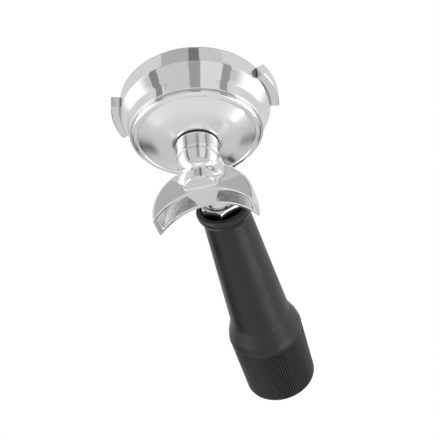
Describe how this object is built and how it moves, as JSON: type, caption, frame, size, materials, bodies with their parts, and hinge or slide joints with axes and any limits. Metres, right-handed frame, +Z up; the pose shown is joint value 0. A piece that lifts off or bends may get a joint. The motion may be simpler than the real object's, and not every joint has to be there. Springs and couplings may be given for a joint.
{
  "type": "portafilter",
  "caption": "Espresso portafilter: chromed bayonet cup with a lift-out filter basket, a screw-on ball-and-arch twin spout and a drooping black handle that flares to a ribbed end.",
  "frame": {"origin": "centre of the filter holder's rim plane, where the bayonet locks into the group head", "axes": "+Z up along the cup's axis into the group head, the handle runs along -Y and droops, X across the two lugs and the two spouts"},
  "size_m": [0.0786, 0.2098, 0.0744],
  "materials": {
    "chromed_brass": "mirror-polished chrome plate on cast brass",
    "chromed_steel": "chrome plate on turned steel",
    "stainless_sheet": "pressed stainless sheet, lightly brushed inside",
    "spring_wire": "drawn stainless spring wire",
    "plain_brass": "turned brass, unplated",
    "zinc_steel": "zinc-plated steel",
    "black_rubber": "moulded black seal",
    "black_ring_plastic": "turned black plastic, semi-gloss",
    "black_grip_plastic": "moulded black plastic, satin"
  },
  "bodies": {
    "holder": {"filter_holder": "chromed_brass", "basket_spring": "spring_wire", "outlet_nipple": "plain_brass", "handle_stud": "zinc_steel", "lock_nut": "chromed_steel", "recess_washer": "zinc_steel", "front_insert": "plain_brass", "collar_ring": "black_ring_plastic", "grip_shell": "black_grip_plastic", "ribbed_end_cap": "black_grip_plastic", "rear_insert": "plain_brass", "cap_washer": "zinc_steel", "cap_screw": "zinc_steel", "end_plug": "black_ring_plastic"},
    "basket": {"filter_basket": "stainless_sheet"},
    "seal": {"spout_gasket": "black_rubber"},
    "spout": {"twin_spout": "chromed_brass"}
  },
  "joints": [
    {"name": "basket_lift", "type": "slide", "parent": "holder", "child": "basket", "axis": [0, 0, 1], "range_m": [0, 0.032]},
    {"name": "spout_travel", "type": "slide", "parent": "holder", "child": "seal", "axis": [0, 0, -1], "range_m": [0, 0.00802]},
    {"name": "spout_turn", "type": "hinge", "parent": "seal", "child": "spout", "pos_m": [0, 0, -0.0281], "axis": [0, 0, -1], "range_deg": [0, 2160]}
  ],
  "couplings": [
    {"joint": "spout_turn", "follows": "spout_travel", "rad_per_m": 4700}
  ]
}
